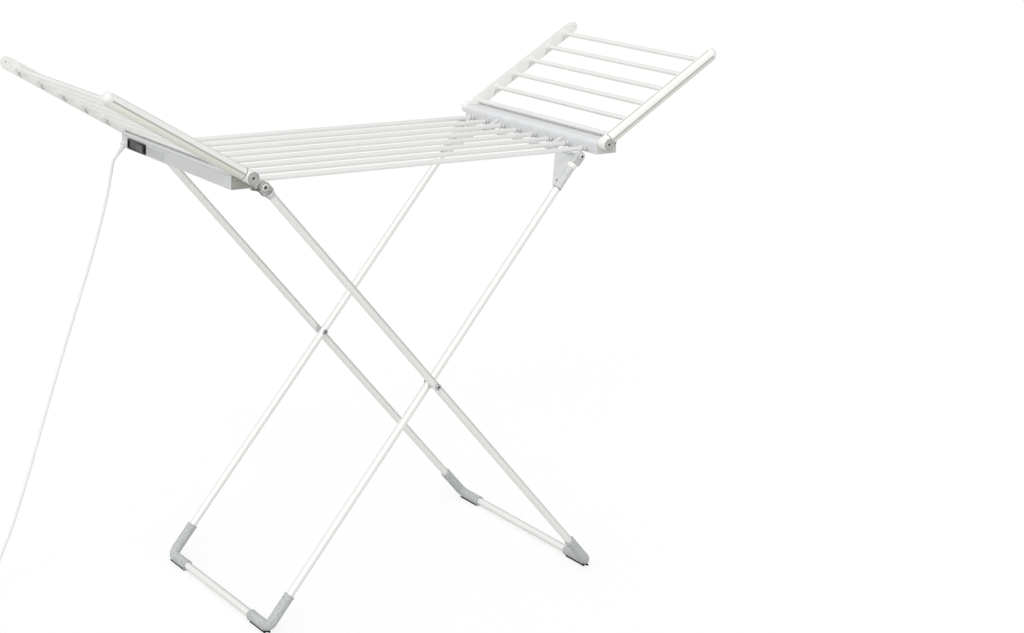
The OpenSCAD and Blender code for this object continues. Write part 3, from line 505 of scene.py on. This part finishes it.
rubber = moulded("moulded rubber, black", "#2b2b2b", "#1e1e1e", 0.75, 1.2, 0.4)
finish(rubber, "outer_foot_strips", "inner_foot_strips")
finish(steel, "outer_cross_rod", "cross_rivets", "wing_hinge_pins")
finish(moulded("powder-coated steel, pale grey", "#d2d4d5", "#c9cbcc", 0.45, 0.9, 0.2), "inner_cross_rod")
finish(elbow_grey, "cross_spacers")

# Rivets where the legs cross: a zinc-plated cup on each leg with a hole in its middle, painted dark for its shade
cup = [(2.4, 0.4), (3.0, 1.1), (4.4, 1.1), (5.6, 0.5), (6.3, -0.6), (6.3, -2.2)]
cups = []
for s in (-1, 1):
    for y, way in ((outer_half + leg_r + 2.4, 1), (inner_half - leg_r - 2.0, -1)):
        where = pointing((cross_x, s * y, cross_z), (0, s * way, 0))
        cups += [(*turned(cup), where, 0), (*hole(2.5, 0.4), where, 1)]
make("rivet_cups", cups, [steel, black_steel_and_recess_shade], "outer_frame")

# ---- Leg tops --------------------------------------------------------------------------------------------------------
# Flecked grey forks on the outer legs, each with a cross-head screw in a white washer, and smooth cheeks on the inner
# legs with smaller screws, a white collar, a slim sleeve, and an ABS web across to the rod.

fork_grey = flecked("moulded polypropylene, fork grey", "#c6c8c5", "#babcb9", "#8b8d89", 0.42)
socket_grey = flecked("moulded polypropylene, socket grey", "#dcdedd", "#d2d4d3", "#b6b9b7", 0.39)
cheek_grey = moulded("moulded polypropylene, cheek grey", "#c8cac8", "#bec0be", 0.5, 1.2, 0.2)
web_pale = moulded("moulded ABS, web", "#dcddde", "#d4d5d7", 0.48, 1.4, 0.12)
washer_white = moulded("moulded nylon, white washer", "#f1f1ef", "#e9e9e6", 0.4, 1.2)


def prism(outline, low, high, edge=0.6):
    """An outline in the XZ plane drawn along Y from low to high, with eased edges"""
    middle = Vector((sum(x for x, z in outline), sum(z for x, z in outline))) / len(outline)
    points = []
    for y, inset in ((low, edge), (low + edge, 0), (high - edge, 0), (high, edge)):
        for x, z in outline:
            inward = (middle - Vector((x, z))).normalized() * inset
            points.append((x + inward.x, y, z + inward.y))
    n = len(outline)
    faces = [(i * n + k, i * n + (k + 1) % n, (i + 1) * n + (k + 1) % n, (i + 1) * n + k)
             for i in range(3) for k in range(n)]
    return points, faces + [tuple(range(n))[::-1], tuple(range(3 * n, 4 * n))]


def rounded(radius, back, corner_x, corner_z):
    """A cheek's outline: half round about the pivot, straight back along the leg, and drawn in to its lower end"""
    arc = [(radius * cos(radians(a)), radius * sin(radians(a))) for a in range(-90, 91, 10)]
    return arc + [(-back, radius), (-corner_x, corner_z), (-corner_x, -corner_z), (-back, -radius)]


head_r, head_back = 11.2, 15.0
fork_in, slot_in, slot_out, fork_out = 221.0, 225.6, 231.4, 238.0
cheek_in, cheek_out = 209.2, 220.4
block = [(-13, -head_r), (-13, head_r), (-head_back, head_r), (-19, 9.0), (-19, -9.0), (-head_back, -head_r)]
neck = [(8.1, 25.0), (8.6, 24.7), (8.9, 23.0), (9.6, 18.0), (9.6, 14.0)]
sleeve = [(8.1, 82.0), (8.8, 81.8), (9.2, 81.2), (9.2, 79.6), (8.8, 79.2), (8.8, 31.0), (8.8, 24.0)]
ring = [(8.8, 31.0), (9.9, 30.6), (10.2, 29.6), (10.2, 21.4), (9.8, 20.4), (8.2, 20.0)]
mouth = [(8.0, 82.9), (8.7, 82.8), (8.9, 82.4), (8.8, 81.9)]
for side, turn in (("far", far_side), ("near", near_side)):
    stand = standing(outer_top, outer_angle) @ turn
    head = rounded(head_r, head_back, 19.0, 9.0)
    make(f"outer_fork_{side}", [
        (*prism(head, fork_in, slot_in), stand, 0),
        (*prism(head, slot_out, fork_out), stand, 0),
        (*prism(block, slot_in - 0.6, slot_out + 0.6, 0.2), stand, 0),
        (*turned(neck), stand @ pointing((0, outer_half, 0), (-1, 0, 0)), 1),
    ], [fork_grey, socket_grey], "outer_frame", [f"outer_head_{side}"])
    stand = standing(inner_top, inner_angle) @ turn
    down_leg = stand @ pointing((0, inner_half, 0), (-1, 0, 0))
    make(f"inner_cheek_{side}", [
        (*prism(rounded(9.8, 14.0, 20.0, 9.0), cheek_in, cheek_out), stand, 0),
        (*prism(rounded(8.2, 13.0, 17.0, 7.6), cheek_out - 0.8, cheek_out + 0.5, 0.3), stand, 1),
        (*turned(sleeve), down_leg, 0),
        (*turned(ring), down_leg, 2),
        (*turned(mouth), down_leg, 3),
    ], [socket_grey, cheek_grey, pvc, joint_line], "inner_frame", [f"inner_head_{side}"])
finish(web_pale, "inner_gussets")

fork_washer = [(4.3, 2.3), (4.5, 3.0), (5.4, 3.1), (6.2, 2.6), (6.5, 1.6), (6.5, -0.3)]
cheek_washer = [(3.6, 2.3), (3.8, 2.9), (4.8, 3.0), (5.6, 2.2), (5.8, -0.3)]
web_in, web_down, web_face = 12.5, 66.0, 2.0
fork_screws, cheek_screws = [], []
for s, turn in ((1, far_side), (-1, near_side)):
    spot = pointing((outer_top[0], s * fork_out, outer_top[1]), (0, s, 0))
    fork_screws += [(*turned(fork_washer, 40), spot, 0), (*screw(4.3, 2.9), spot, 1),
                    (*cross_slot(3.9, 2.95), spot, 2)]
    spot = pointing((inner_top[0], s * (cheek_out + 0.2), inner_top[1]), (0, s, 0))
    cheek_screws += [(*turned(cheek_washer, 40), spot, 0), (*screw(3.8, 2.9), spot, 1),
                     (*cross_slot(3.4, 2.95), spot, 2)]
    for way in (-1, 1):
        spot = pointing((-web_down, inner_half - web_in, way * web_face), (0, 0, way))
        spot = standing(inner_top, inner_angle) @ turn @ spot
        cheek_screws += [(*screw(2.4, 1.0, 1.1), spot, 2), (*hole(1.2, 0.7), spot, 1)]
make("fork_screws", fork_screws, [washer_white, steel, black_steel_and_recess_shade], "outer_frame")
make("cheek_screws", cheek_screws, [washer_white, steel, black_steel_and_recess_shade], "inner_frame")

# ---- Wings -----------------------------------------------------------------------------------------------------------
# Each wing is six anodised tubes between two long ABS side plates. A plate is a half-round shell, glossy white above,
# with a cream strip below that paints the floor's reflection, a soft grey line of painted shade where a groove would
# be, a grey band of painted shade along the top edge, a dark joint beside the hinge barrel, and a grey disc and tip
# plug; the plug's grey is partly painted shade.

plate_y, plate_r, flat = 238.8, 13.0, 2.0
joint_start, shell_start, shell_end, rim_start, rim_end = 13.4, 15, 322, 322.6, 326.2
plug_start, plug_r, plug_bulge = 324.0, 12.2, 4.5
right_wing = standing((hinge_x, hinge_z), radians(31.5))
left_wing = Matrix.Diagonal((-1, 1, 1, 1)) @ standing((hinge_x, hinge_z), radians(30))
plate_white = moulded("moulded ABS, glossy white", "#f5f5f3", "#efefec", 0.24, 2.5, 0.05)
for side in ("left", "right"):
    finish(plate_white, f"{side}_wing_plate_near", f"{side}_wing_plate_far")
    finish(drawn(f"drawn aluminium, {side} wing rails", (0, 1, 0)), f"{side}_wing_rails")
# Painted shade in grey: a line where a groove would be, and a band along the plates' top edge
painted_shade_band = moulded("moulded ABS, painted shade band", "#c0c0ba", "#b5b5af", 0.5, 1.4, 0.1)
# A cream tone on the plates' lower half paints the floor's reflection in it
cream = moulded("moulded ABS, cream painted floor reflection", "#efefe6", "#e8e8dd", 0.34, 2.0, 0.08)
# The tip plugs' grey is partly their own and partly painted shade, for the shade on the plates' ends
plug_grey_and_shade = moulded("moulded polyethylene, tip plug with painted shade", "#8f918f", "#838583", 0.5, 1.2, 0.2)


def band(radius, low, high, start, end, lift):
    """A strip of the half-round outer face between two angles from the top, with its edges turned down to the plate"""
    steps, slope = 14, 0.6
    angles = [low + (high - low) * k / steps for k in range(steps + 1)]
    rings = []
    for x, r in ((start, radius - lift), (start, radius), (start + slope, radius + lift),
                 (end - slope, radius + lift), (end, radius), (end, radius - lift)):
        ring = [(radius - lift, angles[0])] + [(r, a) for a in angles] + [(radius - lift, angles[-1])]
        rings.append([(x, plate_y + flat + q * sin(radians(a)), q * cos(radians(a))) for q, a in ring])
    n = len(rings[0])
    faces = [(i * n + k, i * n + k + 1, (i + 1) * n + k + 1, (i + 1) * n + k) for i in range(5) for k in range(n - 1)]
    return [p for ring in rings for p in ring], faces


def tip_plug():
    """The flattened quarter ball that closes a plate's open end"""
    points, n = [], 12
    for i in range(n + 1):
        for k in range(n + 1):
            a, b = pi / 2 * (2 * i / n - 1), pi / 2 * k / n
            points.append((plug_start + plug_bulge * cos(a) * cos(b), plate_y + flat + plug_r * cos(a) * sin(b),
                           plug_r * sin(a)))
    return points, [(i * (n + 1) + k, i * (n + 1) + k + 1, (i + 1) * (n + 1) + k + 1, (i + 1) * (n + 1) + k)
                    for i in range(n) for k in range(n)]


disc_face = [(2.5, 3.4), (2.8, 4.4), (4.2, 4.5), (4.6, 4.0), (5.2, 4.0), (5.6, 4.5), (7.6, 4.5), (8.0, 3.9),
             (8.7, 3.9), (9.1, 4.5), (10.9, 4.4), (11.3, 3.8)]
disc_gap = [(11.3, 3.8), (12.0, 3.8)]
disc_rim = [(12.0, 3.8), (12.2, 4.2), (12.7, 3.8), (12.9, 3.0), (12.9, 0.0)]
disc_out, tip_screw_x = 17.0, 330
disc_grey = flecked("moulded polypropylene, knob grey", "#c3c5c2", "#b7b9b6", "#9a9c99", 0.4)
for side, wing in (("left", left_wing), ("right", right_wing)):
    strips, plugs, discs, screws = [], [], [], []
    for turn in (far_side, near_side):
        where = wing @ turn
        # The strips, in order: the cream lower half, painted floor reflection; a grey line of painted shade where a
        # groove would be; a grey band of painted shade along the top edge; the dark joint by the barrel; the white rim
        # at the tip
        strips += [(*band(plate_r, low, high, start, end, lift), where, tone) for low, high, start, end, lift, tone in (
            (99, 168, shell_start, shell_end, 0.4, 0), (83, 100, shell_start, shell_end, 0.1, 1),
            (4, 15, shell_start, shell_end, 0.1, 1), (12, 170, joint_start, shell_start, 0.15, 3),
            (2, 178, rim_start, rim_end, 0.2, 2),
        )]
        plugs.append((*tip_plug(), where, 0))
        out = where @ pointing((0, plate_y + disc_out, 0), (0, 1, 0))
        discs += [(*turned(disc_face, 48), out, 0), (*turned(disc_gap, 48), out, 2), (*turned(disc_rim, 48), out, 3),
                  (*hole(2.6, 3.0), out, 1)]
        dot = where @ pointing((tip_screw_x, plate_y, 0), (0, -1, 0))
        screws += [(*screw(2.6, 0.9, 1.1), dot, 0), (*hole(1.2, 0.6), dot, 1)]
    make(f"{side}_plate_strips", strips, [cream, painted_shade_band, plate_white, joint_line], f"{side}_wing")
    make(f"{side}_tip_plugs", plugs, [plug_grey_and_shade], f"{side}_wing")
    make(f"{side}_hinge_discs", discs, [disc_grey, black_steel_and_recess_shade, joint_line, plate_white], f"{side}_wing",
         [f"{side}_wing_knobs"])
    make(f"{side}_tip_screws", screws, [washer_white, black_steel_and_recess_shade], f"{side}_wing")

# ---- Floor and light -------------------------------------------------------------------------------------------------
# A plain white floor keeps the feet's soft shadows, and bounces light as if it were greyer. The sky is white to the
# camera, but lights less from behind the airer and from its right. One broad lamp stands high on the camera's left.

floor_r = 30
floor_mesh = bpy.data.meshes.new("floor")
floor_mesh.from_pydata([(-floor_r, -floor_r, 0), (floor_r, -floor_r, 0), (floor_r, floor_r, 0), (-floor_r, floor_r, 0)],
                       [], [(0, 1, 2, 3)])
floor = bpy.data.objects.new("floor", floor_mesh)
scene.collection.objects.link(floor)
white, bounce_grey, mirrored_grey, glow_share = linear("#ffffff"), linear("#cbcbca"), linear("#ececeb"), 0.74
paper, shader = bare("white paper", 0.9)
ray = add(paper, "LightPath").outputs
seen = add(paper, "Math", {"operation": "MAXIMUM"}, i0=ray["Is Camera Ray"], i1=ray["Is Transmission Ray"]).outputs[0]
unseen = add(paper, "Mix", {"data_type": "RGBA"}, i0=ray["Is Glossy Ray"], i6=bounce_grey, i7=mirrored_grey)
tone = add(paper, "Mix", {"data_type": "RGBA"}, i0=seen, i6=unseen.outputs[2], i7=white)
paper.node_tree.links.new(tone.outputs[2], shader.inputs["Base Color"])
shader.inputs["Specular IOR Level"].default_value = 0.0
glow = add(paper, "Emission", Color=white, Strength=1.0)
part = add(paper, "Math", {"operation": "MULTIPLY"}, i0=seen, i1=glow_share).outputs[0]
both = add(paper, "MixShader", i0=part, i1=shader.outputs[0], i2=glow.outputs[0])
paper.node_tree.links.new(both.outputs[0], paper.node_tree.nodes["Material Output"].inputs["Surface"])
floor_mesh.materials.append(paper)

to_camera, to_right, to_lamp = (-0.528, -0.836, 0.149), (0.99, -0.05, 0.13), (-0.62, -0.65, 0.6)
world = bpy.data.worlds.new("studio")
scene.world = world
world.use_nodes = True
sky = world.node_tree.nodes["Background"]
sky.inputs["Color"].default_value = white
toward = add(world, "TexCoord").outputs["Generated"]
facing = add(world, "VectorMath", {"operation": "DOT_PRODUCT"}, i0=toward, i1=to_camera).outputs["Value"]
sideways = add(world, "VectorMath", {"operation": "DOT_PRODUCT"}, i0=toward, i1=to_right).outputs["Value"]
back = add(world, "MapRange", Value=facing, i1=-0.95, i2=-0.6, i3=0.25, i4=0.97).outputs[0]
front = add(world, "MapRange", Value=facing, i1=-0.5, i2=0.6, i3=0.0, i4=0.1).outputs[0]
card = add(world, "MapRange", Value=sideways, i1=0.55, i2=0.85, i3=1.0, i4=0.4).outputs[0]
even = add(world, "Math", {"operation": "ADD"}, i0=back, i1=front).outputs[0]
shade = add(world, "Math", {"operation": "MULTIPLY"}, i0=even, i1=card).outputs[0]
looked_at = add(world, "LightPath").outputs["Is Camera Ray"]
plain = add(world, "Mix", {"data_type": "FLOAT"}, i0=looked_at, i2=shade, i3=1.0)
world.node_tree.links.new(plain.outputs[0], sky.inputs["Strength"])
lamp = bpy.data.objects.new("lamp", bpy.data.lights.new("lamp", "SUN"))
scene.collection.objects.link(lamp)
lamp.data.energy = 0.55
lamp.data.angle = radians(24)
lamp.rotation_euler = Vector(to_lamp).to_track_quat("Z", "Y").to_euler()
